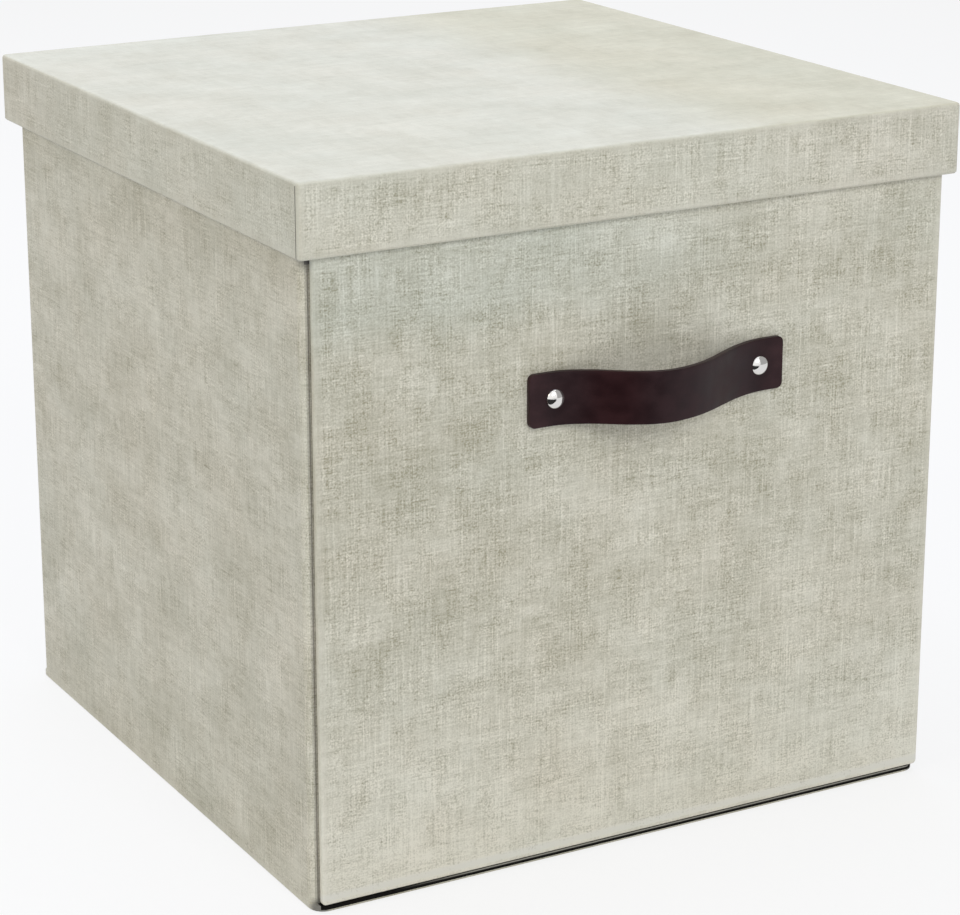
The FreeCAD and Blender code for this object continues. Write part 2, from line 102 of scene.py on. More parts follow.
# %% Helpers that add nodes
def add(tree, kind, inputs=(), **options):
    """A new node; inputs go by position, or by name or number when they are a dict."""
    node = tree.nodes.new(kind)
    for name, value in options.items():
        setattr(node, name, value)
    pairs = inputs.items() if isinstance(inputs, dict) else enumerate(inputs)
    for key, value in pairs:
        if isinstance(value, bpy.types.NodeSocket):
            tree.links.new(value, node.inputs[key])
        elif value is not None:
            node.inputs[key].default_value = value
    return node


def calc(tree, operation, *values):
    """The result of one Math node."""
    return add(tree, "ShaderNodeMath", values, operation=operation).outputs[0]


def vector_calc(tree, operation, *values):
    """The vector result of one Vector Math node."""
    return add(tree, "ShaderNodeVectorMath", values, operation=operation).outputs[0]


def total(tree, *values):
    """The sum of several values."""
    result = values[0]
    for value in values[1:]:
        result = calc(tree, "ADD", result, value)
    return result


def axes_of(tree, vector):
    """The X, Y and Z outputs of a vector."""
    return add(tree, "ShaderNodeSeparateXYZ", [vector]).outputs


def object_place(tree):
    """The shaded point in the object's own coordinates."""
    return add(tree, "ShaderNodeTexCoord").outputs["Object"]


print("helpers ready")


# %% Helpers for masks, noise and colour
def ramp(tree, value, low, high, to_low=0.0, to_high=1.0):
    """value taken smoothly from low..high to to_low..to_high, and held beyond."""
    node = add(tree, "ShaderNodeMapRange", {"Value": value, "From Min": low, "From Max": high,
                                            "To Min": to_low, "To Max": to_high},
               interpolation_type="SMOOTHSTEP")
    return node.outputs["Result"]


def noise(tree, vector, size, detail=2.0, roughness=0.5):
    """Noise whose features are size = (x, y, z) large, in the vector's own units."""
    scaled = vector_calc(tree, "MULTIPLY", vector, [1 / s for s in size])
    node = add(tree, "ShaderNodeTexNoise", {"Vector": scaled, "Scale": 1.0,
                                            "Detail": detail, "Roughness": roughness})
    return node.outputs["Fac"]


def blend(tree, factor, first, second, mode="MIX"):
    """Two colours mixed by a factor; a Mix node's colours are its inputs 6 and 7."""
    node = add(tree, "ShaderNodeMix", {0: factor, 6: first, 7: second}, data_type="RGBA", blend_type=mode)
    return node.outputs[2]


def either(tree, choice, if_one, if_nil):
    """if_one where choice is 1, if_nil where it is 0."""
    return calc(tree, "ADD", calc(tree, "MULTIPLY", if_nil, calc(tree, "SUBTRACT", 1.0, choice)),
                calc(tree, "MULTIPLY", if_one, choice))


print("mask helpers ready")

# %% Helpers for shader groups
FLOAT, VECTOR = "NodeSocketFloat", "NodeSocketVector"


def new_group(name, inputs, outputs):
    """An empty shader group with named sockets; returns the tree, its input and output nodes."""
    tree = bpy.data.node_groups.new(name, "ShaderNodeTree")
    for label, kind, value in inputs:
        socket = tree.interface.new_socket(label, in_out="INPUT", socket_type=kind)
        if value is not None:
            socket.default_value = value
    for label, kind in outputs:
        tree.interface.new_socket(label, in_out="OUTPUT", socket_type=kind)
    return tree, tree.nodes.new("NodeGroupInput"), tree.nodes.new("NodeGroupOutput")


def use_group(tree, group, inputs=()):
    """The outputs of a group placed in a tree."""
    return add(tree, "ShaderNodeGroup", inputs, node_tree=group).outputs


print("group helpers ready")

# %% [markdown]
# ## Coordinates on a folded sheet
# The wrap is a flat printed sheet glued round boards. A pattern in plain object coordinates
# would smear on faces that it meets edge on, so this group looks at which way a face points
# and gives two coordinates that lie in that face, in millimetres, plus a third that differs
# from side to side and keeps their patterns apart. With Turned at 1 the sheet runs unbroken
# from the sides round the front corners of a block as wide as twice Half.

# %% Group: sheet coordinates
BODY_HALF = 153.5
TOP_FACING = 0.7
SIDE_LAYER, TOP_LAYER, FAR_LAYER = 311.0, 733.0, 97.0


def sheet_coordinates():
    """Where the point lies on the wrap, in millimetres along and up the sheet."""
    tree, inside, out = new_group("sheet_coordinates", [("Turned", FLOAT, 0.0), ("Half", FLOAT, BODY_HALF)],
                                  [("Sheet", VECTOR)])
    turned, half = inside.outputs["Turned"], inside.outputs["Half"]
    x, y, z = (calc(tree, "MULTIPLY", axis, PER_METRE) for axis in axes_of(tree, object_place(tree)))
    facing = axes_of(tree, add(tree, "ShaderNodeNewGeometry").outputs["Normal"])
    steep = [calc(tree, "ABSOLUTE", axis) for axis in facing]
    is_top = calc(tree, "GREATER_THAN", steep[2], TOP_FACING)
    is_side = calc(tree, "GREATER_THAN", steep[0], calc(tree, "MAXIMUM", steep[1], steep[2]))
    round_corner = calc(tree, "ADD", x, calc(tree, "MULTIPLY", calc(tree, "SIGN", x),
                                             calc(tree, "ADD", y, half)))
    along = either(tree, turned, round_corner, either(tree, is_side, y, x))
    upward = either(tree, is_top, y, z)
    sense = calc(tree, "SIGN", total(tree, *facing))
    layer = total(tree, calc(tree, "MULTIPLY", is_side, SIDE_LAYER),
                  calc(tree, "MULTIPLY", is_top, TOP_LAYER), calc(tree, "MULTIPLY", sense, FAR_LAYER))
    layer = calc(tree, "MULTIPLY", layer, calc(tree, "SUBTRACT", 1.0, turned))
    sheet = add(tree, "ShaderNodeCombineXYZ", [along, upward, layer])
    tree.links.new(sheet.outputs[0], out.inputs["Sheet"])
    return tree


SHEET = sheet_coordinates()
print("group", SHEET.name)

# %% [markdown]
# ## The linen print
# Linen is a plain weave of uneven yarns. A picture of cloth could be wrapped round the box, but
# noise gives a print without repeats at any size. Long thin noise makes warp and weft yarns, a
# finer noise makes the peppery crossings, thresholds pick out short dark dashes and a few thick
# pale slubs, and wide soft noise fades the print in patches, as on the real paper. Strength
# weakens the fine marks and Clouds the broad ones.

# %% The marks of the print
# Sizes in millimetres along the sheet, up the sheet and between its layers.
WARP, WEFT = (0.75, 24.0, 1.0), (14.0, 0.75, 1.0)
SLUB_UP, SLUB_ACROSS = (0.7, 40.0, 3.0), (26.0, 0.7, 3.0)
DASH_UP, DASH_ACROSS = (0.8, 7.0, 7.0), (7.0, 0.8, 7.0)
PEPPER, SPECK = (0.85, 0.85, 1.0), (0.95, 0.8, 2.0)
BAR_UP, BAR_ACROSS = (3.2, 30.0, 5.0), (28.0, 3.0, 5.0)
BLOTCH, PATCH = (4.5, 4.5, 1.0), (13.0, 16.0, 1.0)
CLOUD, HUE = (42.0, 34.0, 1.0), (55.0, 45.0, 9.0)
# Noise values between which a mark comes in.
SPECKS_FROM_TO, DASHES_FROM_TO = (0.44, 0.30), (0.42, 0.27)
SLUBS_UP_FROM_TO, SLUBS_ACROSS_FROM_TO = (0.63, 0.76), (0.65, 0.78)
# How strongly each mark changes the tone: where it is strong, a plus is paler, a minus darker.
WEIGHT = {"pepper": 1.75, "specks": -0.28, "warp": 1.0, "weft": 0.8, "dash_up": -0.26,
          "dash_across": -0.32, "slub_up": 0.22, "slub_across": 0.16, "bar_up": 0.30,
          "bar_across": 0.48, "blotch": 0.48, "patch": -0.50, "cloud": 1.30}
YARN_BASE = 0.06
USUAL_WARMTH, HUE_WARMTH, PATCH_WARMTH = 0.55, 0.5, 0.2
print("marks of the print:", len(WEIGHT))


# %% Group: linen weave
def centred(tree, value, weight):
    """A noise value about nil, times a weight."""
    return calc(tree, "MULTIPLY", calc(tree, "SUBTRACT", value, 0.5), weight)


def picked(tree, sheet, size, from_to, weight, detail=0.0):
    """Marks where the noise passes a threshold, times a weight."""
    return calc(tree, "MULTIPLY", ramp(tree, noise(tree, sheet, size, detail=detail), *from_to), weight)


def linen_weave():
    """The print's tone and warmth and the yarns' relief, at a place on the sheet."""
    tree, inside, out = new_group(
        "linen_weave",
        [("Sheet", VECTOR, None), ("Strength", FLOAT, 1.0), ("Clouds", FLOAT, 1.0)],
        [("Tone", FLOAT), ("Warmth", FLOAT), ("Height", FLOAT)])
    sheet, strength = inside.outputs["Sheet"], inside.outputs["Strength"]
    patch = noise(tree, sheet, PATCH, detail=3.0, roughness=0.6)
    worn = ramp(tree, patch, low=0.36, high=0.62, to_low=0.60, to_high=1.25)

    grain = total(tree, centred(tree, noise(tree, sheet, PEPPER, detail=1.0), WEIGHT["pepper"]),
                  picked(tree, sheet, SPECK, SPECKS_FROM_TO, WEIGHT["specks"]))
    yarns = total(tree, centred(tree, noise(tree, sheet, WARP, detail=1.0), WEIGHT["warp"]),
                  centred(tree, noise(tree, sheet, WEFT, detail=1.0), WEIGHT["weft"]),
                  picked(tree, sheet, DASH_UP, DASHES_FROM_TO, WEIGHT["dash_up"], detail=1.0),
                  picked(tree, sheet, DASH_ACROSS, DASHES_FROM_TO, WEIGHT["dash_across"], detail=1.0),
                  YARN_BASE)
    slubs = total(tree, picked(tree, sheet, SLUB_UP, SLUBS_UP_FROM_TO, WEIGHT["slub_up"]),
                  picked(tree, sheet, SLUB_ACROSS, SLUBS_ACROSS_FROM_TO, WEIGHT["slub_across"]))
    fine = calc(tree, "MULTIPLY", total(tree, grain, yarns), worn)
    fine = calc(tree, "MULTIPLY", total(tree, fine, slubs), strength)

    cloud = noise(tree, sheet, CLOUD, detail=3.0, roughness=0.6)
    broad = total(tree, centred(tree, noise(tree, sheet, BAR_UP), WEIGHT["bar_up"]),
                  centred(tree, noise(tree, sheet, BAR_ACROSS), WEIGHT["bar_across"]),
                  centred(tree, noise(tree, sheet, BLOTCH), WEIGHT["blotch"]),
                  centred(tree, patch, WEIGHT["patch"]), centred(tree, cloud, WEIGHT["cloud"]))
    broad = calc(tree, "MULTIPLY", broad, ramp(tree, strength, low=0.2, high=1.0, to_low=0.85))
    broad = calc(tree, "MULTIPLY", broad, inside.outputs["Clouds"])
    tree.links.new(total(tree, fine, broad), out.inputs["Tone"])
    warmth = total(tree, centred(tree, noise(tree, sheet, HUE, detail=3.0), HUE_WARMTH),
                   centred(tree, patch, PATCH_WARMTH), USUAL_WARMTH)
    tree.links.new(warmth, out.inputs["Warmth"])
    tree.links.new(total(tree, yarns, grain), out.inputs["Height"])
    return tree


LINEN = linen_weave()
print("group", LINEN.name)

# %% [markdown]
# ## Distance to the nearest edge
# Paper is rubbed and stretched where it folds over a board's edge. The edges could be painted
# by hand, but a rule serves every part: this group works out how far a point is from the
# nearest edge of a block with a known middle and size. On the surface of the block one of the
# three distances to its faces is nil, so the middle one of them is the answer.


# %% Group: distance to a block's edges
def edge_distance():
    """How far the point is from the nearest edge of a block, in millimetres."""
    tree, inside, out = new_group(
        "edge_distance", [("Middle", VECTOR, (0, 0, 0)), ("Half Size", VECTOR, (0.1, 0.1, 0.1))],
        [("Millimetres", FLOAT)])
    offset = vector_calc(tree, "SUBTRACT", object_place(tree), inside.outputs["Middle"])
    room = vector_calc(tree, "SUBTRACT", inside.outputs["Half Size"], vector_calc(tree, "ABSOLUTE", offset))
    a, b, c = axes_of(tree, room)
    low, high = calc(tree, "MINIMUM", a, b), calc(tree, "MAXIMUM", a, b)
    middle = calc(tree, "MAXIMUM", low, calc(tree, "MINIMUM", high, c))
    tree.links.new(calc(tree, "MULTIPLY", middle, PER_METRE), out.inputs["Millimetres"])
    return tree


EDGE = edge_distance()
print("group", EDGE.name)

# %% [markdown]
# ## A mark in one place
# The paper's cut edge, and the shade in the gap beside the panel, which is painted dark, show in one narrow
# place each. The material finds such a place as a block that stands in the object's coordinates.


# %% Group: inside a block
def inside_block():
    """1 inside the block from Low to High, 0 outside."""
    tree, inside, out = new_group("inside_block", [("Low", VECTOR, (0, 0, 0)), ("High", VECTOR, (1, 1, 1))],
                                  [("Inside", FLOAT)])
    place = object_place(tree)
    above = vector_calc(tree, "SUBTRACT", place, inside.outputs["Low"])
    below = vector_calc(tree, "SUBTRACT", inside.outputs["High"], place)
    a, b, c = axes_of(tree, vector_calc(tree, "MINIMUM", above, below))
    within = calc(tree, "GREATER_THAN", calc(tree, "MINIMUM", a, calc(tree, "MINIMUM", b, c)), 0.0)
    tree.links.new(within, out.inputs["Inside"])
    return tree


INSIDE_BLOCK = inside_block()
print("group", INSIDE_BLOCK.name)

# %% [markdown]
# ## Linen-look paper
# One function makes the paper for each wrapped part, because each was cut from another place
# on the roll and has its own edges. The print mixes a greenish grey and a warm beige. It is
# fainter on faces that look up or sideways and where an edge is rubbed. Wide fades lighten,
# darken or tint a stretch of it, and some of them are painted light. Seams show a cut edge or
# paint the shade in a gap dark, and painted shade greys the paper in a few spots.


# %% Helpers for materials
def new_material(name, **sockets):
    """A material whose Principled sockets hold plain values; returns it, its tree and shader."""
    material = bpy.data.materials.new(name)
    material.use_nodes = True
    shader = material.node_tree.nodes["Principled BSDF"]
    for label, value in sockets.items():
        shader.inputs[label.replace("_", " ")].default_value = value
    return material, material.node_tree, shader


def bump(tree, shader, height, strength, distance):
    """Relief from a height mask; distance is its depth in metres."""
    node = add(tree, "ShaderNodeBump", {"Height": height, "Strength": strength, "Distance": distance})
    tree.links.new(node.outputs["Normal"], shader.inputs["Normal"])


print("material helpers ready")

# %% Colours and sizes of the paper
LINEN_DARK = (0.375, 0.3555, 0.271, 1)
LINEN_PALE = (0.8445, 0.820, 0.7505, 1)
LINEN_BEIGE = (1.0, 0.948, 0.866, 1)
LINEN_GREEN = (0.926, 0.975, 0.947, 1)
# The dark of a cut edge, which is also painted into a gap as its shade, and the grey of painted shade.
CUT_EDGE_AND_GAP_SHADE = (0.09, 0.08, 0.07, 1)
PAINTED_SHADE_GREY = (0.17, 0.165, 0.15, 1)
# Rubbing fades out between these distances from an edge, in millimetres.
RUBBED_OVER = (0.6, 5.0)
# A face counts as turned up, or sideways, as that part of its normal grows between these.
FACING_FROM, FACING_TO = 0.3, 0.9
# The share of the fine print that is left there, and the span of tones that the print covers.
FLAT_STRENGTH, SIDE_STRENGTH, RUBBED_STRENGTH = 0.17, 0.8, 0.35
TONE_SPAN = 0.62
# The axes of a fade: along the sheet, up it, and how far the paper faces upwards.
ALONG, UP, FACING = 0, 1, 2
print("paper colours ready")


# %% Material: linen-look paper
def weave_strength(tree, facing, rubbed):
    """How strong the print is: less on faces that look up or sideways and at rubbed edges."""
    flat = ramp(tree, facing["Z"], FACING_FROM, FACING_TO, 1.0, FLAT_STRENGTH)
    sideways = calc(tree, "ABSOLUTE", facing["X"])
    side = ramp(tree, sideways, FACING_FROM, FACING_TO, 1.0, SIDE_STRENGTH)
    return calc(tree, "MULTIPLY", calc(tree, "MULTIPLY", flat, side),
                ramp(tree, rubbed, 0.0, 1.0, 1.0, RUBBED_STRENGTH))


def fade_share(tree, axes, spans):
    """How far a fade holds here: the product of its spans, each (axis, from, to)."""
    share = 1.0
    for axis, start, end in spans:
        share = calc(tree, "MULTIPLY", share, ramp(tree, axes[axis], start, end))
    return share


def marked(tree, colour, seams, painted_shade_spots):
    """The colour with its cut edges and the shade in its gaps painted dark, and spots of painted shade grey.
    """
    for corner, far_corner, share in seams:
        cut = use_group(tree, INSIDE_BLOCK, {"Low": corner, "High": far_corner})["Inside"]
        colour = blend(tree, calc(tree, "MULTIPLY", cut, share), colour, CUT_EDGE_AND_GAP_SHADE)
    place = object_place(tree)
    for point, near, far, share in painted_shade_spots:
        apart = add(tree, "ShaderNodeVectorMath", [place, point], operation="DISTANCE").outputs["Value"]
        colour = blend(tree, ramp(tree, apart, near, far, share, 0.0), colour, PAINTED_SHADE_GREY)
    return colour


def linen_paper(name, low, high, shift, fades=(), seams=(), painted_shade_spots=(), turned=0.0, tone=0.55, warmth=0.0,
                clouds=1.0, rub=0.10):
    """Printed paper round a block from low to high, its print shifted along the roll.

    fades: (spans, tone added, tint or None) for wide changes of tone and tint, painted light among them.
    seams: (low corner, high corner, share) of blocks where a cut edge shows, or where the shade in a gap is
    painted dark.
    painted_shade_spots: (point, full within, gone beyond, share) where painted shade greys the paper.
    """
    material, tree, shader = new_material(name, Roughness=0.62, IOR=1.45)
    low, high = Vector(low), Vector(high)
    sheet = use_group(tree, SHEET, {"Turned": turned})["Sheet"]
    edge = use_group(tree, EDGE, {"Middle": (low + high) / 2, "Half Size": (high - low) / 2})
    rubbed = ramp(tree, edge["Millimetres"], *RUBBED_OVER, 1.0, 0.0)
    facing = axes_of(tree, add(tree, "ShaderNodeNewGeometry").outputs["Normal"])
    weave = use_group(tree, LINEN, {"Sheet": vector_calc(tree, "ADD", sheet, shift), "Clouds": clouds,
                                    "Strength": weave_strength(tree, facing, rubbed)})
    tone = calc(tree, "ADD", calc(tree, "MULTIPLY", weave["Tone"], TONE_SPAN), tone)
    tone = calc(tree, "ADD", tone, calc(tree, "MULTIPLY", rubbed, rub))
    axes = axes_of(tree, sheet)[:2] + [facing["Z"]]
    tints = []
    for spans, more_tone, fade_tint in fades:
        share = fade_share(tree, axes, spans)
        tone = calc(tree, "ADD", tone, calc(tree, "MULTIPLY", share, more_tone))
        if fade_tint:
            tints.append((share, fade_tint))
    colour = blend(tree, tone, LINEN_DARK, LINEN_PALE)
    tint = blend(tree, calc(tree, "ADD", weave["Warmth"], warmth), LINEN_GREEN, LINEN_BEIGE)
    for share, laid_over in [(1.0, tint)] + tints:
        colour = blend(tree, share, colour, laid_over, "MULTIPLY")
    tree.links.new(marked(tree, colour, seams, painted_shade_spots), shader.inputs["Base Color"])
    bump(tree, shader, weave["Height"], strength=0.35, distance=0.12 * MM)
    return material


def paper_for(name, node, shift, **marks):
    """Paper that fits the box round a CAD part."""
    return linen_paper(name, *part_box(node), shift, **marks)


print("paper function ready")

# %% [markdown]
# ## The lid's paper
# The lid's wrap is cut at the front corners, and the cut shows as a fine dark line a little
# way round each corner. The top takes the studio's light almost flat on. Its print is faint,
# and it is painted paler all over; towards the right it is painted darker and more beige, a
# painted shade where the sheen on its left falls off. The rim is a touch warmer towards the right too.

# %% Paper of the lid
lid_low, lid_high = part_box("lid_cover")
SEAM_FROM, SEAM_TO = 2.1 * MM, 2.8 * MM
SEAM_REACH, SEAM_TOP = 1.0 * MM, 1.6 * MM
SEAM_SHARE = 0.65
LID_SEAMS = [((side * lid_high.x - SEAM_REACH, lid_low.y + SEAM_FROM, 0),
              (side * lid_high.x + SEAM_REACH, lid_low.y + SEAM_TO, lid_high.z - SEAM_TOP), SEAM_SHARE)
             for side in (-1, 1)]
TOP_PAINTED_SHADE_TINT = (1.0, 0.985, 0.926, 1)
RIM_WARM = (1.0, 0.987, 0.987, 1)
UPWARDS = (FACING, FACING_FROM, FACING_TO)
SIDEWAYS = (FACING, FACING_TO, FACING_FROM)
# Painted light: the top is painted paler all over, and painted darker and more beige towards the right where
# the sheen on its left falls off; the rim is a touch warmer towards the right.
LID_FADES_AND_PAINTED_LIGHT = [([(ALONG, 20, 80), UPWARDS], -0.10, TOP_PAINTED_SHADE_TINT),
             ([UPWARDS], 0.05, None),
             ([(ALONG, 20, 130), SIDEWAYS], 0.0, RIM_WARM)]
LID_PAPER = paper_for("linen_lid", "lid_cover", (0, 0, 0), seams=LID_SEAMS, fades=LID_FADES_AND_PAINTED_LIGHT,
                      tone=0.56, warmth=-0.12, clouds=0.75, rub=0.03)
print("paper", LID_PAPER.name)

# %% [markdown]
# ## The panels' paper
# The front panel's colour isn't even. It is painted paler towards the foot, as painted light from
# the floor, and just under the lid, as painted light too; it is darker on the left above the foot,
# and greener at the top left. The fold along the foot is stretched and shows as a thin pale strip,
# which is partly a painted highlight. The back panel can't be seen in the photograph, so
# it has the plain print from another place on the roll.

# %% Paper of the front and back panels
FRONT_GREEN = (0.933, 0.978, 1.0, 1)
FOOT_STRETCH_AND_HIGHLIGHT = (0.954, 0.965, 1.0, 1)
# Painted light: paler towards the foot, where the floor throws light up, and just under the lid; the thin
# pale strip at the foot is a stretched fold that also carries a painted highlight. The other fades make the
# left darker above the foot and paler near it, and the top left greener.
FRONT_FADES_AND_PAINTED_LIGHT = [([(UP, 120, 15)], 0.16, None),
               ([(UP, 275, 245)], -0.05, None),
               ([(UP, 180, 110)], 0.03, None),
               ([(ALONG, -10, -110), (UP, 70, 120)], -0.08, None),
               ([(ALONG, -20, -120), (UP, 90, 30)], 0.05, None),
               ([(UP, 230, 256), (ALONG, 100, -60)], 0.05, FRONT_GREEN),
               ([(UP, 32, 12)], 0.09, None),
               ([(UP, 4.4, 5.3), (UP, 8.8, 6.8)], 0.32, FOOT_STRETCH_AND_HIGHLIGHT)]
FRONT_PAPER = paper_for("linen_front", "front_cover", (140, 35, 20), fades=FRONT_FADES_AND_PAINTED_LIGHT)
BACK_PAPER = paper_for("linen_back", "back_cover", (410, 90, 40))
print("papers", FRONT_PAPER.name, BACK_PAPER.name)

# %% [markdown]
# ## The side walls' paper
# The walls' wrap turns the front corners as one sheet. Beside the panel's left end it dips into a
# narrow gap, and the shade in that gap is painted dark, darkest at its top under the lid. Six
# thin blocks, one inside the next, paint a soft shade on the gap's left bank. Painted shade greys
# the paper at the foot of each front corner and under the lid's left one.

# %% Paper of the side walls and the base
BODY_TOP, BASE_TOP = 306.7 * MM, 2.7 * MM
body_low = Vector((-BODY_HALF * MM, -BODY_HALF * MM, 0))
body_high = Vector((BODY_HALF * MM, BODY_HALF * MM, BODY_TOP))
panel_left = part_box("front_cover")[0].x
GAP_LEFT, DEEP_SHADE_LEFT, SHADE_LEFT, SHADE_RIGHT = -150.6 * MM, -151.4 * MM, -151.2 * MM, -150.0 * MM
GAP_FRONT, GAP_BACK, SHADE_BACK = -154.5 * MM, -147.0 * MM, -149.0 * MM
GAP_TOP, DEEP_SHADE_FOOT = 308.0 * MM, 275.2 * MM
GAP_SHARE, DEEP_SHADE_SHARE, SHADE_SHARE = 0.52, 1.0, 0.06
GAP_UNDER, DEEP_SHADE_UNDER = 0.2 * MM, 1.2 * MM
SHADE_BLOCKS, SHADE_STEP = 6, 0.4 * MM
# Painted shade: the gap beside the panel's left end is painted dark, darkest in a spot at its top under the
# lid, and the blocks after it paint a soft shade on its left bank.
LEFT_GAP_PAINTED_SHADE = [((GAP_LEFT, GAP_FRONT, BASE_TOP), (panel_left + GAP_UNDER, GAP_BACK, GAP_TOP), GAP_SHARE),
            ((DEEP_SHADE_LEFT, GAP_FRONT, DEEP_SHADE_FOOT), (panel_left + DEEP_SHADE_UNDER, GAP_BACK, GAP_TOP), DEEP_SHADE_SHARE)]
LEFT_BANK_PAINTED_SHADE = [((SHADE_LEFT - step * SHADE_STEP, GAP_FRONT, BASE_TOP), (SHADE_RIGHT, SHADE_BACK, GAP_TOP),
               SHADE_SHARE) for step in range(SHADE_BLOCKS)]
# Painted shade greys the paper at the foot of each front corner and in the pocket under the lid's left
# corner.
FOOT_PAINTED_SHADE = [((side * 151.2 * MM, -152.0 * MM, 1.0 * MM), 2.2 * MM, 6.2 * MM, 0.9) for side in (-1, 1)]
LID_CORNER_PAINTED_SHADE = ((-151.2 * MM, -153.0 * MM, 278.5 * MM), 1.5 * MM, 10.0 * MM, 0.75)
SIDE_PAPER = linen_paper("linen_side", body_low, body_high, (75, 160, 60), turned=1.0,
                         seams=LEFT_GAP_PAINTED_SHADE + LEFT_BANK_PAINTED_SHADE, painted_shade_spots=FOOT_PAINTED_SHADE + [LID_CORNER_PAINTED_SHADE])
# The base's paper is painted darker, as painted shade near the floor.
BASE_PAPER = linen_paper("linen_base", body_low, (body_high.x, body_high.y, BASE_TOP), (20, 10, 30),
                         tone=0.22)
print("papers", SIDE_PAPER.name, BASE_PAPER.name)

# %% [markdown]
# ## Lining, board and tape
# Lining paper is dyed through, with a fine tooth. Greyboard is pressed waste paper with flecks,
# and gummed tape is kraft paper. All three are two tones in flecks, so one function makes them.

# %% Materials: lining, board, tape
BOARD_CLOUD, BOARD_CLOUD_WEIGHT = (35.0, 35.0, 1.0), 0.3


def flecked(name, dark, pale, fleck_size, roughness, height):
    """A plain material of two tones in fine flecks over soft clouds."""
    material, tree, shader = new_material(name, Roughness=roughness, IOR=1.4)
    sheet = use_group(tree, SHEET)["Sheet"]
    flecks = noise(tree, sheet, (fleck_size, fleck_size, 1.0), detail=3.0, roughness=0.7)
    clouds = noise(tree, sheet, BOARD_CLOUD)
    fleck_tone = ramp(tree, flecks, low=0.3, high=0.7, to_low=-0.15, to_high=0.85)
    tone = calc(tree, "ADD", fleck_tone, calc(tree, "MULTIPLY", clouds, BOARD_CLOUD_WEIGHT))
    tree.links.new(blend(tree, tone, dark, pale), shader.inputs["Base Color"])
    bump(tree, shader, flecks, strength=0.4, distance=height)
    return material


LINING = flecked("charcoal_lining", (0.030, 0.030, 0.032, 1), (0.052, 0.052, 0.054, 1),
                 fleck_size=0.8, roughness=0.78, height=0.06 * MM)
GREYBOARD = flecked("greyboard", (0.30, 0.29, 0.26, 1), (0.46, 0.45, 0.41, 1),
                    fleck_size=1.2, roughness=0.9, height=0.1 * MM)
TAPE = flecked("gummed_tape", (0.26, 0.17, 0.085, 1), (0.40, 0.28, 0.15, 1),
               fleck_size=1.5, roughness=0.6, height=0.05 * MM)
print("inner materials", LINING.name, GREYBOARD.name, TAPE.name)

# %% [markdown]
# ## Hinge cloth
# The panels hinge on black book cloth, a tight weave under filler. Real yarns would be far too
# fine to model, so two sets of sine ribs make the relief. Towards the right, where the cloth comes
# out from under the panel, its upper edge is painted a shaded linen grey, which stands in for the
# panel's paper edge in shade.

# %% Material: book cloth
SHADED_LINEN_GREY = (0.33, 0.32, 0.285, 1)
# Where the painted grey comes in, in millimetres: up, along, and out from the box's middle.
GREY_TOP_UP, GREY_TOP_ALONG, GREY_TOP_OUT = (2.12, 2.38), (-120, -70), (152.8, 153.3)


def between(tree, value, from_to):
    """A ramp between two places given in millimetres."""
    return ramp(tree, value, from_to[0] * MM, from_to[1] * MM)


def book_cloth(name, dark, pale, pitch):
    """Close-woven cloth: two sets of ribs cross, over and under in turn."""
    material, tree, shader = new_material(name, Roughness=0.85, IOR=1.4, Specular_IOR_Level=0.12)
    sheet = axes_of(tree, use_group(tree, SHEET)["Sheet"])
    turns = [calc(tree, "MULTIPLY", axis, 2 * math.pi / pitch) for axis in sheet[:2]]
    weave = calc(tree, "MULTIPLY", calc(tree, "SINE", turns[0]), calc(tree, "SINE", turns[1]))
    colour = blend(tree, ramp(tree, weave, -1.0, 1.0), dark, pale)
    x, y, z = axes_of(tree, object_place(tree))
    # Painted shade: a shaded linen grey on the cloth's upper edge towards the right.
    grey_top = calc(tree, "MULTIPLY", between(tree, z, GREY_TOP_UP), between(tree, x, GREY_TOP_ALONG))
    grey_top = calc(tree, "MULTIPLY", grey_top, between(tree, calc(tree, "ABSOLUTE", y), GREY_TOP_OUT))
    tree.links.new(blend(tree, grey_top, colour, SHADED_LINEN_GREY), shader.inputs["Base Color"])
    bump(tree, shader, weave, strength=0.5, distance=0.1 * MM)
    return material


CLOTH = book_cloth("black_cloth", (0.004, 0.0036, 0.0032, 1), (0.010, 0.009, 0.008, 1), pitch=0.55)
print("material", CLOTH.name)

# %% [markdown]
# ## Leather
# The pull is smooth dyed leather, with a fine pebble grain, a mottled dye and a soft gloss.
# Painted shade makes it darker and redder where it bends away on the left, where its sheen falls
# off, and a painted sheen makes it paler and greyer at its ends. The real wrinkles are too faint
# to need shapes of their own.

# %% Material: leather
LEATHER_DARK = (0.0175, 0.0060, 0.0077, 1)
LEATHER_PALE = (0.0275, 0.0108, 0.0128, 1)
BEND_PAINTED_SHADE = (1.0, 0.58, 0.62, 1)
ENDS_PAINTED_SHEEN = (1.45, 1.5, 1.45, 1)
# Places along the pull, in millimetres, over which each tint comes in or goes.
BEND_SHADE_START, BEND_SHADE_END = (-35.0, -23.0), (-5.0, -17.0)
LEFT_SHEEN, RIGHT_SHEEN = (-42.0, -50.0), (59.0, 67.0)
MOTTLE = (9.0, 9.0, 7.0)
PEBBLES_PER_MM = 1.6


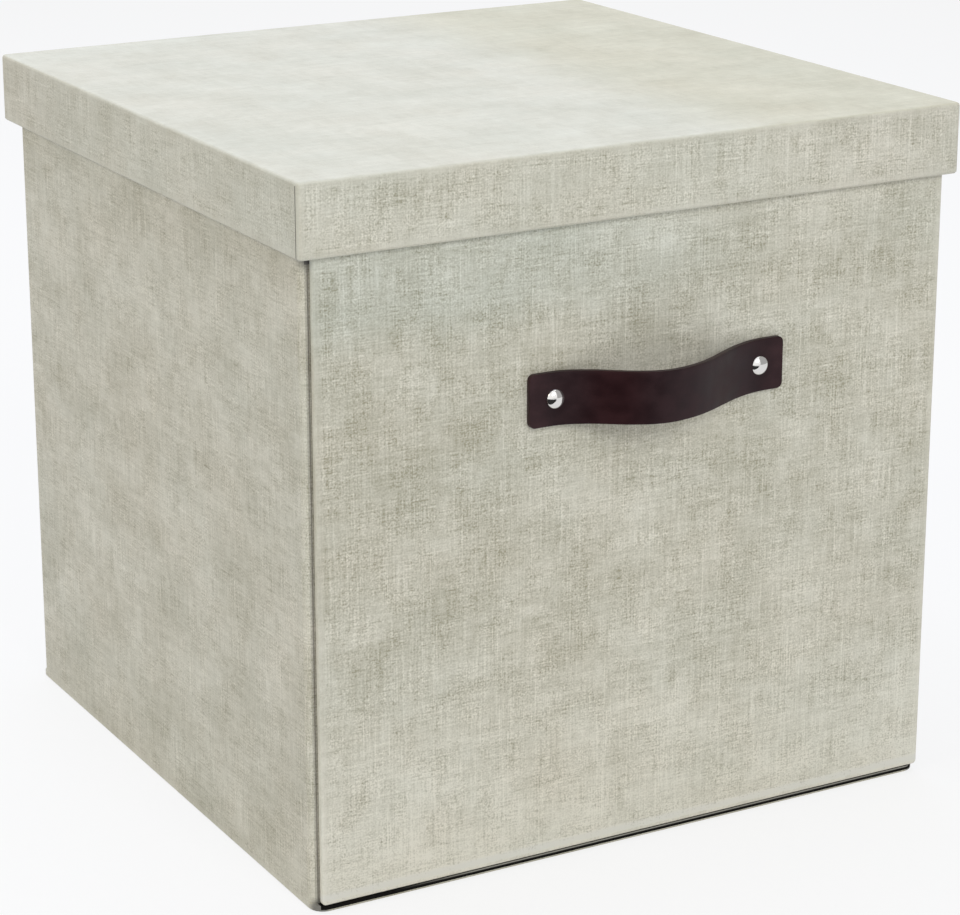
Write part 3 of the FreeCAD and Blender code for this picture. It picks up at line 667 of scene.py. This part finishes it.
def leather(name):
    """Smooth leather, dyed unevenly, with painted shade on its left bend and painted sheen at its ends."""
    material, tree, shader = new_material(name, Roughness=0.42, IOR=1.45, Specular_IOR_Level=0.25)
    metric = vector_calc(tree, "MULTIPLY", object_place(tree), (PER_METRE, PER_METRE, PER_METRE))
    pebble = add(tree, "ShaderNodeTexVoronoi", {"Vector": metric, "Scale": PEBBLES_PER_MM},
                 feature="SMOOTH_F1")
    mottle = noise(tree, metric, MOTTLE, detail=3.0)
    colour = blend(tree, ramp(tree, mottle, 0.3, 0.7), LEATHER_DARK, LEATHER_PALE)
    x = axes_of(tree, metric)[0]
    # Painted shade makes the left bend darker and redder where the sheen falls off, and a painted sheen makes
    # the ends paler and greyer.
    bend_shade = calc(tree, "MULTIPLY", ramp(tree, x, *BEND_SHADE_START), ramp(tree, x, *BEND_SHADE_END))
    end_sheen = calc(tree, "MAXIMUM", ramp(tree, x, *LEFT_SHEEN), ramp(tree, x, *RIGHT_SHEEN))
    colour = blend(tree, bend_shade, colour, BEND_PAINTED_SHADE, "MULTIPLY")
    colour = blend(tree, end_sheen, colour, ENDS_PAINTED_SHEEN, "MULTIPLY")
    tree.links.new(colour, shader.inputs["Base Color"])
    tree.links.new(ramp(tree, mottle, 0.2, 0.8, to_low=0.36, to_high=0.5), shader.inputs["Roughness"])
    bump(tree, shader, pebble.outputs["Distance"], strength=0.12, distance=0.2 * MM)
    return material


LEATHER = leather("brown_leather")
print("material", LEATHER.name)

# %% [markdown]
# ## Metal
# The rivets are polished and mirror the studio. The press studs are plated and a little duller.
# Metal with one roughness all over looks like a drawing, so the polish wanders a little.

# %% Materials: polished nickel, plated nickel
SMEAR = 1.5 * MM


def metal(name, colour, smoothest, roughest):
    """Bright metal whose polish wanders between two roughnesses."""
    material, tree, shader = new_material(name, Metallic=1.0, Base_Color=colour)
    smear = noise(tree, object_place(tree), (SMEAR, SMEAR, SMEAR), detail=3.0)
    tree.links.new(ramp(tree, smear, 0.3, 0.7, smoothest, roughest), shader.inputs["Roughness"])
    return material


POLISHED = metal("polished_nickel", (0.93, 0.91, 0.89, 1), smoothest=0.04, roughest=0.10)
PLATED = metal("stud_nickel", (0.72, 0.71, 0.68, 1), smoothest=0.18, roughest=0.32)
print("materials", POLISHED.name, PLATED.name)

# %% [markdown]
# ## Smooth shading on the CAD parts
# A CAD part arrives as loose flat triangles. Its mesh could be cleaned by hand, but it has to
# stay as it came, so modifiers do the work: they weld it, shade it smooth except at true
# corners, and weight its normals by area, which makes its rounded edges roll cleanly.

# %% Geometry nodes: weld and smooth
WELD_DISTANCE = 0.002 * MM
CORNER_ANGLE = math.radians(32)


def new_geometry_tree(name, inputs=()):
    """A geometry tree with named inputs; returns the tree, its input and output nodes."""
    tree = bpy.data.node_groups.new(name, "GeometryNodeTree")
    for label, kind in [("Geometry", "Geometry")] + list(inputs):
        tree.interface.new_socket(label, in_out="INPUT", socket_type="NodeSocket" + kind)
    tree.interface.new_socket("Geometry", in_out="OUTPUT", socket_type="NodeSocketGeometry")
    return tree, tree.nodes.new("NodeGroupInput"), tree.nodes.new("NodeGroupOutput")


def weld_and_smooth():
    """Welds loose triangles and shades them smooth except at corners."""
    tree, inside, out = new_geometry_tree("weld_and_smooth")
    weld = add(tree, "GeometryNodeMergeByDistance", {"Geometry": inside.outputs[0],
                                                     "Distance": WELD_DISTANCE})
    soft = add(tree, "GeometryNodeSetShadeSmooth", {"Geometry": weld.outputs[0], "Shade Smooth": True})
    angle = add(tree, "GeometryNodeInputMeshEdgeAngle").outputs["Unsigned Angle"]
    corner = add(tree, "FunctionNodeCompare", [angle, CORNER_ANGLE], operation="GREATER_THAN")
    sharp = add(tree, "GeometryNodeSetShadeSmooth", {"Geometry": soft.outputs[0], "Shade Smooth": False,
                                                     "Selection": corner.outputs[0]}, domain="EDGE")
    tree.links.new(sharp.outputs[0], out.inputs[0])
    return tree


SMOOTHER = weld_and_smooth()
print("geometry tree", SMOOTHER.name)

# %% Dress every CAD part
frame_slots = {part["node"]: part["material_slot"] for part in frame["record"]["subparts"]}
BY_SLOT = {"greyboard": GREYBOARD, "charcoal_lining": LINING, "black_cloth": CLOTH,
           "brown_leather": LEATHER, "polished_nickel": POLISHED, "stud_nickel": PLATED,
           "gummed_tape": TAPE, "linen_paper": SIDE_PAPER}
OWN_PAPER = {"lid_cover": LID_PAPER, "front_cover": FRONT_PAPER, "back_cover": BACK_PAPER,
             "base_cover": BASE_PAPER}


def finish_cad(node, material):
    """Give a CAD part its material and smooth shading."""
    part = frame["nodes"][node]
    part.data.materials.clear()
    part.data.materials.append(material)
    part.modifiers.new("weld_and_smooth", "NODES").node_group = SMOOTHER
    part.modifiers.new("weighted", "WEIGHTED_NORMAL").keep_sharp = True


for node, slot_name in frame_slots.items():
    finish_cad(node, OWN_PAPER.get(node, BY_SLOT[slot_name]))
print("dressed", len(frame_slots), "CAD parts")

# %% [markdown]
# ## The leather pull
# A pull starts as a flat strip with rounded corners and burnished edges. It could be modelled
# in its bow, but it is made flat here, as a maker would cut it, and Geometry Nodes then bend
# it along a path: each point's distance along the strip becomes a distance along the path. In
# the photograph the bow leans, with its upper edge further out, so the strip is tilted too,
# most of all at its crest.

# %% Sizes of the strip
STRAP_LOW, STRAP_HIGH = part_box("handle_strap")
STRAP_THICK = 2.3 * MM
STRAP_WIDE = STRAP_HIGH.z - STRAP_LOW.z
STRAP_CORNER = 2.6 * MM
STRAP_MIDDLE_Z = (STRAP_LOW.z + STRAP_HIGH.z) / 2
PANEL_FACE = STRAP_HIGH.y
CORNER_STEPS, LENGTH_STEPS, WIDTH_STEPS = 8, 150, 16
print("strap", round(STRAP_WIDE / MM, 1), "mm wide")


# %% The flat strip
def mesh_object(name, bm, material, smooth=True):
    """An object at the origin from a bmesh, linked and with one material."""
    mesh = bpy.data.meshes.new(name)
    bm.to_mesh(mesh)
    bm.free()
    for face in mesh.polygons:
        face.use_smooth = smooth
    mesh.materials.append(material)
    made = bpy.data.objects.new(name, mesh)
    bpy.context.scene.collection.objects.link(made)
    return made


def strip_places(length):
    """Distances along the strip: close together round its corners, even between them."""
    steps = [STRAP_CORNER * (1 - math.cos(math.pi / 2 * i / CORNER_STEPS)) for i in range(CORNER_STEPS)]
    run = length - 2 * STRAP_CORNER
    even = [STRAP_CORNER + run * i / LENGTH_STEPS for i in range(LENGTH_STEPS + 1)]
    return steps + even + [length - s for s in reversed(steps)]


def strip_side(bm, length, y):
    """The points of one face of the strip, column by column."""
    grid = []
    for s in strip_places(length):
        inset = max(0.0, STRAP_CORNER - min(s, length - s))
        half = STRAP_WIDE / 2 - STRAP_CORNER + math.sqrt(max(0.0, STRAP_CORNER ** 2 - inset ** 2))
        grid.append([bm.verts.new((s, y, half * (2 * j / WIDTH_STEPS - 1))) for j in range(WIDTH_STEPS + 1)])
    return grid


def strip_rim(grid):
    """The points round the outline of one face of the strip."""
    return ([column[0] for column in grid] + grid[-1][1:-1]
            + [column[-1] for column in reversed(grid)] + grid[0][-2:0:-1])


def strip_blank(name, length):
    """The strip lying along X from 0, its width along Z and its thickness along Y."""
    bm = bmesh.new()
    sides = [strip_side(bm, length, y) for y in (-STRAP_THICK / 2, STRAP_THICK / 2)]
    for is_inner, grid in enumerate(sides):
        for first, second in zip(grid, grid[1:]):
            for j in range(WIDTH_STEPS):
                quad = (first[j], second[j], second[j + 1], first[j + 1])
                bm.faces.new(quad[::-1] if is_inner else quad)
    outer, inner = [strip_rim(grid) for grid in sides]
    for i in range(len(outer)):
        after = (i + 1) % len(outer)
        bm.faces.new((outer[i], inner[i], inner[after], outer[after]))
    bmesh.ops.recalc_face_normals(bm, faces=bm.faces)
    return mesh_object(name, bm, LEATHER)


print("strip", WIDTH_STEPS + 1, "points across")

# %% The path of the bow, as seen from above
# Each pair is a place along the panel and the distance of the strap's middle from the panel.
BOW = [(-53.8, 1.15), (-46.0, 1.15), (-41.0, 1.45), (-36.0, 2.6), (-31.0, 4.7), (-25.0, 8.2),
       (-19.0, 12.6), (-12.0, 17.2), (-5.0, 20.4), (2.0, 21.65), (10.0, 20.9), (18.0, 18.7),
       (26.0, 15.2), (34.0, 10.9), (42.0, 6.7), (49.0, 3.75), (55.0, 1.95), (60.0, 1.25),
       (65.0, 1.15), (70.5, 1.15)]


def bow_path(points):
    """A smooth curve through (x, distance from the panel) pairs, in millimetres."""
    curve = bpy.data.curves.new("bow_path", "CURVE")
    curve.dimensions = "3D"
    spline = curve.splines.new("BEZIER")
    spline.bezier_points.add(len(points) - 1)
    for point, (x, out) in zip(spline.bezier_points, points):
        point.co = (x * MM, PANEL_FACE - out * MM, STRAP_MIDDLE_Z)
        point.handle_left_type = point.handle_right_type = "AUTO"
    made = bpy.data.objects.new("bow_path", curve)
    bpy.context.scene.collection.objects.link(made)
    return made


path = bow_path(BOW)
path_length = path.data.splines[0].calc_length()
print("path", round(path_length / MM, 1), "mm long")

# %% Geometry nodes: bend along a path
UPRIGHT = (0.0, 0.0, 1.0)
CREST_SHARPNESS = 3.0


def end_with_material(tree, geometry, inside, out):
    """Copies made real and given the Material input, as a tree's result."""
    whole = add(tree, "GeometryNodeRealizeInstances", [geometry])
    dressed = add(tree, "GeometryNodeSetMaterial", {"Geometry": whole.outputs[0],
                                                    "Material": inside.outputs["Material"]})
    tree.links.new(dressed.outputs[0], out.inputs[0])


def bend_tree():
    """Bends a flat strip along a path, tilting it by Tilt at the crest."""
    tree, inside, out = new_geometry_tree("bend_along_path", [("Path", "Object"), ("Length", "Float"),
                                                              ("Tilt", "Float"), ("Material", "Material")])
    bow = add(tree, "GeometryNodeObjectInfo", {"Object": inside.outputs["Path"]}).outputs["Geometry"]
    x, y, z = axes_of(tree, add(tree, "GeometryNodeInputPosition").outputs[0])
    sample = add(tree, "GeometryNodeSampleCurve", {"Curves": bow, "Length": x}, mode="LENGTH").outputs
    outward = vector_calc(tree, "CROSS_PRODUCT", sample["Tangent"], UPRIGHT)
    share = calc(tree, "DIVIDE", x, inside.outputs["Length"])
    swell = calc(tree, "SINE", calc(tree, "MULTIPLY", share, math.pi))
    swell = calc(tree, "POWER", calc(tree, "MAXIMUM", swell, 0.0), CREST_SHARPNESS)
    lean = calc(tree, "MULTIPLY", calc(tree, "MULTIPLY", z, inside.outputs["Tilt"]), swell)
    depth = calc(tree, "ADD", calc(tree, "MULTIPLY", y, -1.0), lean)
    shift = vector_calc(tree, "SCALE", outward, None, None, depth)
    rise = add(tree, "ShaderNodeCombineXYZ", [0.0, 0.0, z]).outputs[0]
    place = vector_calc(tree, "ADD", vector_calc(tree, "ADD", shift, rise), sample["Position"])
    moved = add(tree, "GeometryNodeSetPosition", {"Geometry": inside.outputs["Geometry"], "Position": place})
    end_with_material(tree, moved.outputs[0], inside, out)
    return tree


BENDER = bend_tree()
print("geometry tree", BENDER.name)


# %% Helpers that run a geometry tree
def add_tree(thing, tree, inputs):
    """A modifier that runs a tree, with its named inputs set through their identifiers."""
    modifier = thing.modifiers.new(tree.name, "NODES")
    modifier.node_group = tree
    for item in tree.interface.items_tree:
        if item.item_type == "SOCKET" and item.in_out == "INPUT" and item.name in inputs:
            modifier[item.identifier] = inputs[item.name]


def made_plain(source, name):
    """A plain mesh object from an object with live modifiers, which is then removed."""
    graph = bpy.context.evaluated_depsgraph_get()
    graph.update()
    mesh = bpy.data.meshes.new_from_object(source.evaluated_get(graph))
    mesh.name = name
    bpy.data.objects.remove(source)
    made = bpy.data.objects.new(name, mesh)
    bpy.context.scene.collection.objects.link(made)
    return made


print("tree helpers ready")

# %% The bent pull
EDGE_ROUND = 0.55 * MM
TILT = 0.075
blank = strip_blank("strap_blank", path_length)
rim = blank.modifiers.new("burnished_edge", "BEVEL")
rim.width = EDGE_ROUND
rim.segments = 3
rim.limit_method = "ANGLE"
rim.angle_limit = math.radians(60)
add_tree(blank, BENDER, {"Path": path, "Length": path_length, "Tilt": TILT, "Material": LEATHER})
pull = made_plain(blank, "leather_pull")
bpy.data.objects.remove(path)
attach(pull, "box")
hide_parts("handle_strap")
print("pull", len(pull.data.polygons), "faces")

# %% [markdown]
# ## Rivets and stud caps
# These are turned parts, as from a lathe: half an outline spun round an axis. Each could be
# placed by hand, but one of each is enough, and Geometry Nodes set copies of it on points.
# Copies on the back panel are turned to face the other way.

# %% Turned pieces
TURN_STEPS, DOME_STEPS = 48, 10


def spun(name, outline, material):
    """Spin (radius, y) pairs, in millimetres, round the Y axis."""
    bm = bmesh.new()
    ring = [bm.verts.new((r * MM, y * MM, 0)) for r, y in outline]
    edges = [bm.edges.new(pair) for pair in zip(ring, ring[1:])]
    bmesh.ops.spin(bm, geom=ring + edges, axis=(0, 1, 0), cent=(0, 0, 0), angle=2 * math.pi, steps=TURN_STEPS)
    bmesh.ops.remove_doubles(bm, verts=bm.verts, dist=0.001 * MM)
    bmesh.ops.recalc_face_normals(bm, faces=bm.faces)
    return mesh_object(name, bm, material)


def dome(radius, height, base_y, side):
    """The outline of a domed head from its crown to its foot, in millimetres."""
    pairs = []
    for i in range(DOME_STEPS + 1):
        angle = math.pi / 2 * i / DOME_STEPS
        pairs.append((radius * math.sin(angle), base_y + side * height * math.cos(angle)))
    return pairs


print("dome outline", len(dome(1.0, 1.0, 0.0, 1)), "points")


# %% Geometry nodes: copies on points
def set_on_points():
    """Copies of a piece, one on each point of the mesh that carries the modifier."""
    tree, inside, out = new_geometry_tree("set_on_points", [("Piece", "Object"), ("Turned Back", "Float"),
                                                            ("Material", "Material")])
    piece = add(tree, "GeometryNodeObjectInfo", {"Object": inside.outputs["Piece"]}).outputs["Geometry"]
    place = axes_of(tree, add(tree, "GeometryNodeInputPosition").outputs[0])
    behind = calc(tree, "GREATER_THAN", place["Y"], 0.0)
    angle = calc(tree, "MULTIPLY", calc(tree, "MULTIPLY", behind, inside.outputs["Turned Back"]), math.pi)
    turn = add(tree, "ShaderNodeCombineXYZ", [0.0, 0.0, angle])
    copies = add(tree, "GeometryNodeInstanceOnPoints", {"Points": inside.outputs["Geometry"],
                                                        "Instance": piece, "Rotation": turn.outputs[0]})
    end_with_material(tree, copies.outputs[0], inside, out)
    return tree


POINT_SETTER = set_on_points()


def copies_on(name, piece, places, material):
    """Copies of a turned piece at places, as one plain mesh."""
    bm = bmesh.new()
    for place in places:
        bm.verts.new(place)
    points = mesh_object(name + "_points", bm, material)
    add_tree(points, POINT_SETTER, {"Piece": piece, "Turned Back": 1.0, "Material": material})
    made = made_plain(points, name)
    bpy.data.objects.remove(piece)
    return made


print("geometry tree", POINT_SETTER.name)

# %% The rivets
UNDERCUT, UNDERCUT_DEEP = 0.3, 0.15
SHANK_RADIUS, TAIL_RADIUS, TAIL_HEIGHT = 1.5, 2.6, 1.0
rivet_low, rivet_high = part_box("handle_rivets")
head_radius = (rivet_high.z - rivet_low.z) / 2 / MM
rivet_z = (rivet_low.z + rivet_high.z) / 2
rivet_xs = (rivet_low.x + head_radius * MM, rivet_high.x - head_radius * MM)
seat = (PANEL_FACE - STRAP_THICK) / MM
head_height = seat - rivet_low.y / MM
tail_y = rivet_high.y / MM - TAIL_HEIGHT
head = dome(head_radius, head_height, seat, -1)
shank = [(head_radius - UNDERCUT, seat + UNDERCUT_DEEP), (SHANK_RADIUS, seat + UNDERCUT_DEEP),
         (SHANK_RADIUS, tail_y), (TAIL_RADIUS, tail_y)]
tail = dome(TAIL_RADIUS, TAIL_HEIGHT, tail_y, 1)[-2::-1]
rivet = spun("rivet", head + shank + tail, POLISHED)
rivets = copies_on("pull_rivets", rivet, [(x, 0, rivet_z) for x in rivet_xs], POLISHED)
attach(rivets, "box")
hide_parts("handle_rivets")
print("rivets", round(2 * head_radius, 1), "mm wide")

# %% The stud caps
cap_low, cap_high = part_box("stud_caps")
cap_radius = (cap_high.z - cap_low.z) / 2 / MM
cap_outline = [(0, 0.75), (3.2, 0.85), (4.3, 1.15), (5.2, 1.1), (5.9, 0.7), (cap_radius, 0.2),
               (cap_radius, 0.0), (0, 0.0)]
cap = spun("cap", cap_outline, PLATED)
cap_x = cap_high.x - cap_radius * MM
cap_y = cap_low.y
cap_z = (cap_low.z + cap_high.z) / 2
places = [(x, y, cap_z) for x in (-cap_x, cap_x) for y in (cap_y, -cap_y)]
caps = copies_on("stud_cap_set", cap, places, PLATED)
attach(caps, "box")
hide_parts("stud_caps")
print("stud caps", len(places))

# %% [markdown]
# ## Studio
# A pale floor and a soft even sky give a white ground. The floor could be lit until it is
# white, but that would flood the box with light from below, so it glows only for the camera
# and in gloss. The sky too is brighter to them than it is as light.

# %% Floor
FLOOR_GREY = 0.82
FLOOR_WHITE, FLOOR_GLOSS = 1.0, 0.72
FLOOR_SHARE = 0.80
FLOOR_REACH, FLOOR_Z = 6, -0.2 * MM
FLOOR_CORNERS = [(x * FLOOR_REACH, y * FLOOR_REACH, FLOOR_Z) for x, y in ((-1, -1), (1, -1), (1, 1), (-1, 1))]


def stage_plane(name, corners, material):
    """A flat piece of the studio, which isn't part of the box."""
    bm = bmesh.new()
    bm.faces.new([bm.verts.new(corner) for corner in corners])
    plane = mesh_object(name, bm, material, smooth=False)
    return plane


floor_paint, paint_tree, paint = new_material("floor_paint", Roughness=0.9, Specular_IOR_Level=0.0,
                                              Base_Color=(FLOOR_GREY, FLOOR_GREY, FLOOR_GREY, 1))
seen_by = add(paint_tree, "ShaderNodeLightPath").outputs
less_in_gloss = calc(paint_tree, "MULTIPLY", seen_by["Is Glossy Ray"], FLOOR_GLOSS - FLOOR_WHITE)
glare = calc(paint_tree, "ADD", less_in_gloss, FLOOR_WHITE)
white = add(paint_tree, "ShaderNodeEmission", {"Color": (1, 1, 1, 1), "Strength": glare})
seen_share = calc(paint_tree, "MULTIPLY", calc(paint_tree, "MAXIMUM", seen_by["Is Camera Ray"],
                                               seen_by["Is Glossy Ray"]), FLOOR_SHARE)
both = add(paint_tree, "ShaderNodeMixShader", [seen_share, paint.outputs[0], white.outputs[0]])
paint_tree.links.new(both.outputs[0], paint_tree.nodes["Material Output"].inputs["Surface"])
stage_plane("floor", FLOOR_CORNERS, floor_paint)
print("floor", 2 * FLOOR_REACH, "m wide")

# %% Sky
SKY_LIGHT, SKY_SEEN = 0.46, 0.93
world = bpy.data.worlds.new("sky")
bpy.context.scene.world = world
world.use_nodes = True
sky = world.node_tree
sky.nodes.clear()
rays = add(sky, "ShaderNodeLightPath").outputs
seen = calc(sky, "MAXIMUM", rays["Is Camera Ray"], rays["Is Glossy Ray"])
seen = calc(sky, "MAXIMUM", seen, rays["Is Transmission Ray"])
level = calc(sky, "ADD", calc(sky, "MULTIPLY", seen, SKY_SEEN - SKY_LIGHT), SKY_LIGHT)
background = add(sky, "ShaderNodeBackground", {"Color": (1, 1, 1, 1), "Strength": level})
add(sky, "ShaderNodeOutputWorld", [background.outputs[0]])
print("sky", SKY_LIGHT, "as light,", SKY_SEEN, "as seen")

# %% [markdown]
# ## Lamps
# Product photographs use large soft lamps. A cool one hangs over and behind the lid, a nearly
# white one stands high in front, and a small warm one lights the left wall and draws the
# shade under the lid's rim. One big lamp alone would leave the three sides too alike.


# %% Three soft lamps
def lamp(name, place, target, size, power, colour):
    """A square soft lamp at place, turned to target."""
    light = bpy.data.lights.new(name, "AREA")
    light.shape, light.size, light.energy, light.color = "SQUARE", size, power, colour
    made = bpy.data.objects.new(name, light)
    aim = (Vector(target) - Vector(place)).to_track_quat("-Z", "Y")
    made.matrix_world = Matrix.Translation(place) @ aim.to_matrix().to_4x4()
    bpy.context.scene.collection.objects.link(made)


lamp("top_softbox", (0.0, 0.7, 2.2), (0, 0, 0.2), size=2.0, power=28.6, colour=(0.85, 0.935, 1.155))
lamp("front_softbox", (-0.1, -2.3, 1.5), (0, 0, 0.15), size=1.0, power=20.2, colour=(0.97, 0.99, 1.0))
lamp("left_softbox", (-2.1, -0.2, 1.7), (0, 0, 0.15), size=0.6, power=8.6, colour=(1.03, 0.95, 0.75))
print("lamps", len(bpy.data.lights))

# %% [markdown]
# ## What the metal mirrors
# Polished metal looks flat under plain white, so a grey wall stands on the right and a dark
# mat lies before the box where only reflections see them. They could be real things in view,
# but then they would show in the picture and shade the box.


# %% Reflection cards
def reflection_card(name, corners, grey):
    """A card that only reflections see."""
    paint = bpy.data.materials.new(name)
    paint.use_nodes = True
    paint.node_tree.nodes.clear()
    glow = add(paint.node_tree, "ShaderNodeEmission", {"Color": (grey, grey, grey, 1), "Strength": 1.0})
    add(paint.node_tree, "ShaderNodeOutputMaterial", [glow.outputs[0]])
    card = stage_plane(name, corners, paint)
    card.visible_camera = card.visible_diffuse = card.visible_shadow = card.visible_transmission = False


WALL_NEAR, WALL_FAR = (0.80, -2.0), (2.4, 0.6)
WALL_FOOT, WALL_HEAD = -0.30, 3.4
MAT_OUTLINE = [(-0.24, -0.16), (0.15, -0.70), (0.35, -1.25), (-3.0, -2.4), (-3.0, 0.3)]
MAT_Z = 1.0 * MM
reflection_card("grey_wall", [(*WALL_NEAR, WALL_FOOT), (*WALL_FAR, WALL_FOOT),
                              (*WALL_FAR, WALL_HEAD), (*WALL_NEAR, WALL_HEAD)], grey=0.38)
reflection_card("dark_mat", [(x, y, MAT_Z) for x, y in MAT_OUTLINE], grey=0.03)
print("reflection cards ready")

# %% [markdown]
# ## Picture settings
# The picture keeps plain, even colours, because a filmic look would grey the white ground.

# %% Picture settings
bpy.context.scene.view_settings.view_transform = "Standard"
